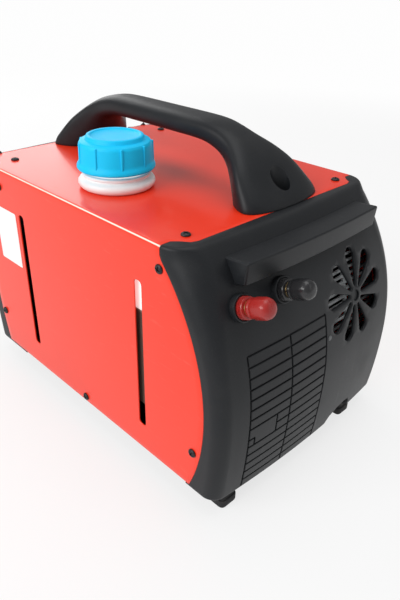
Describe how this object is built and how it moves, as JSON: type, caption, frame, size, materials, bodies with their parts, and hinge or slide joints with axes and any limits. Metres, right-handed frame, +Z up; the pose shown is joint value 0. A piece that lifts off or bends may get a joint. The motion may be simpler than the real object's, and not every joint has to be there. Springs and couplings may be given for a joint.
{
  "type": "diesel air heater",
  "caption": "Portable diesel air heater: folded cover between bulged end caps, carry handle, fuel tank with screw cap, binding posts and a ducted burner core.",
  "frame": {"origin": "middle of the footprint, on the floor under the feet", "axes": "+Z up; +X towards the intake end cap with the grille, louvres and binding posts; -Y towards the side with the fuel tank and its two sight slots"},
  "size_m": [0.4006, 0.2544, 0.2995],
  "materials": {
    "cover_paint": "glossy powder coat with a faint orange peel",
    "screw_black": "blackened steel, slightly rough",
    "rubber": "matte",
    "black_plastic": "fine grain moulding",
    "core_plastic": "glass-filled nylon, dull",
    "guard_plastic": "light grey, smooth",
    "tank_plastic": "milky blow-moulded polyethylene",
    "white_plastic": "smooth",
    "blue_plastic": "satin",
    "cast_aluminium": "sand-cast, dull",
    "steel": "brushed",
    "pan_steel": "powder coat",
    "board": "solder mask",
    "red_plastic": "moulded, satin",
    "brass": "nickel-free, polished",
    "button_plastic": "fine grain"
  },
  "bodies": {
    "body": {"shell_cover": "cover_paint", "base_pan": "pan_steel", "rear_end_cap": "black_plastic", "front_end_cap": "black_plastic", "intake_guard": "guard_plastic", "carry_handle": "black_plastic", "handle_screw_rear": "screw_black", "handle_screw_front": "screw_black", "foot_rear_tank_side": "rubber", "foot_rear_core_side": "rubber", "foot_front_tank_side": "rubber", "foot_front_core_side": "rubber", "cover_screw_tank_side_1": "screw_black", "cover_screw_tank_side_2": "screw_black", "cover_screw_tank_side_3": "screw_black", "cover_screw_tank_side_4": "screw_black", "cover_screw_tank_side_5": "screw_black", "cover_screw_top_tank_side_1": "screw_black", "cover_screw_top_tank_side_2": "screw_black", "cover_screw_core_side_1": "screw_black", "cover_screw_core_side_2": "screw_black", "cover_screw_core_side_3": "screw_black", "cover_screw_core_side_4": "screw_black", "cover_screw_core_side_5": "screw_black", "cover_screw_top_core_side_1": "screw_black", "cover_screw_top_core_side_2": "screw_black", "fuel_tank": "tank_plastic", "neck_collar": "white_plastic", "suction_line": "rubber", "dosing_pump": "steel", "pump_spring": "steel", "delivery_line": "rubber", "heater_casing_lower": "core_plastic", "heater_casing_upper": "core_plastic", "heat_exchanger": "cast_aluminium", "burner_tube": "steel", "glow_plug": "steel", "fan_motor": "steel", "control_board": "board", "combustion_air_pipe": "core_plastic", "exhaust_pipe": "steel", "outlet_grille": "black_plastic", "post_collar_red": "red_plastic", "post_stud_red": "brass", "post_collar_black": "black_plastic", "post_stud_black": "brass", "control_panel": "black_plastic"},
    "liner": {"cap_liner": "white_plastic"},
    "filler_cap": {"fuel_cap": "blue_plastic"},
    "rotor": {"rotor_shaft": "steel", "fan_wheel": "core_plastic", "combustion_impeller": "cast_aluminium"},
    "plunger": {"pump_plunger": "steel"},
    "red_washer": {"post_washer_red": "brass"},
    "red_nut": {"post_nut_red": "red_plastic"},
    "black_washer": {"post_washer_black": "brass"},
    "black_nut": {"post_nut_black": "black_plastic"},
    "power_button": {"button_power": "button_plastic"},
    "up_button": {"button_up": "button_plastic"},
    "down_button": {"button_down": "button_plastic"}
  },
  "joints": [
    {"name": "cap_rise", "type": "slide", "parent": "body", "child": "liner", "axis": [0, 0, 1], "range_m": [0, 0.009]},
    {"name": "cap_turn", "type": "hinge", "parent": "liner", "child": "filler_cap", "pos_m": [-0.01175, -0.066, 0.26], "axis": [0, 0, 1], "range_deg": [0, 540]},
    {"name": "rotor_spin", "type": "hinge", "parent": "body", "child": "rotor", "pos_m": [0.08625, 0.053, 0.15], "axis": [1, 0, 0], "continuous": true},
    {"name": "plunger_stroke", "type": "slide", "parent": "body", "child": "plunger", "axis": [-1, 0, 0], "range_m": [0, 0.0025], "stiffness_N_per_m": 400, "springref_m": -0.002, "deforming": ["pump_spring"]},
    {"name": "red_washer_lift", "type": "slide", "parent": "body", "child": "red_washer", "axis": [0.9272, 0, 0.3746], "range_m": [0, 0.003]},
    {"name": "red_nut_turn", "type": "hinge", "parent": "red_washer", "child": "red_nut", "pos_m": [0.16564, -0.0895, 0.196], "axis": [0.9272, 0, 0.3746], "range_deg": [0, 1080]},
    {"name": "black_washer_lift", "type": "slide", "parent": "body", "child": "black_washer", "axis": [0.9272, 0, 0.3746], "range_m": [0, 0.003]},
    {"name": "black_nut_turn", "type": "hinge", "parent": "black_washer", "child": "black_nut", "pos_m": [0.16824, -0.045, 0.196], "axis": [0.9272, 0, 0.3746], "range_deg": [0, 1080]},
    {"name": "power_press", "type": "slide", "parent": "body", "child": "power_button", "axis": [1, 0, 0], "range_m": [0, 0.0012], "stiffness_N_per_m": 400, "springref_m": -0.001},
    {"name": "up_press", "type": "slide", "parent": "body", "child": "up_button", "axis": [1, 0, 0], "range_m": [0, 0.0012], "stiffness_N_per_m": 400, "springref_m": -0.001},
    {"name": "down_press", "type": "slide", "parent": "body", "child": "down_button", "axis": [1, 0, 0], "range_m": [0, 0.0012], "stiffness_N_per_m": 400, "springref_m": -0.001}
  ],
  "couplings": [
    {"joint": "cap_turn", "follows": "cap_rise", "rad_per_m": 1047.2},
    {"joint": "red_nut_turn", "follows": "red_washer_lift", "rad_per_m": 6283.2},
    {"joint": "black_nut_turn", "follows": "black_washer_lift", "rad_per_m": 6283.2}
  ]
}
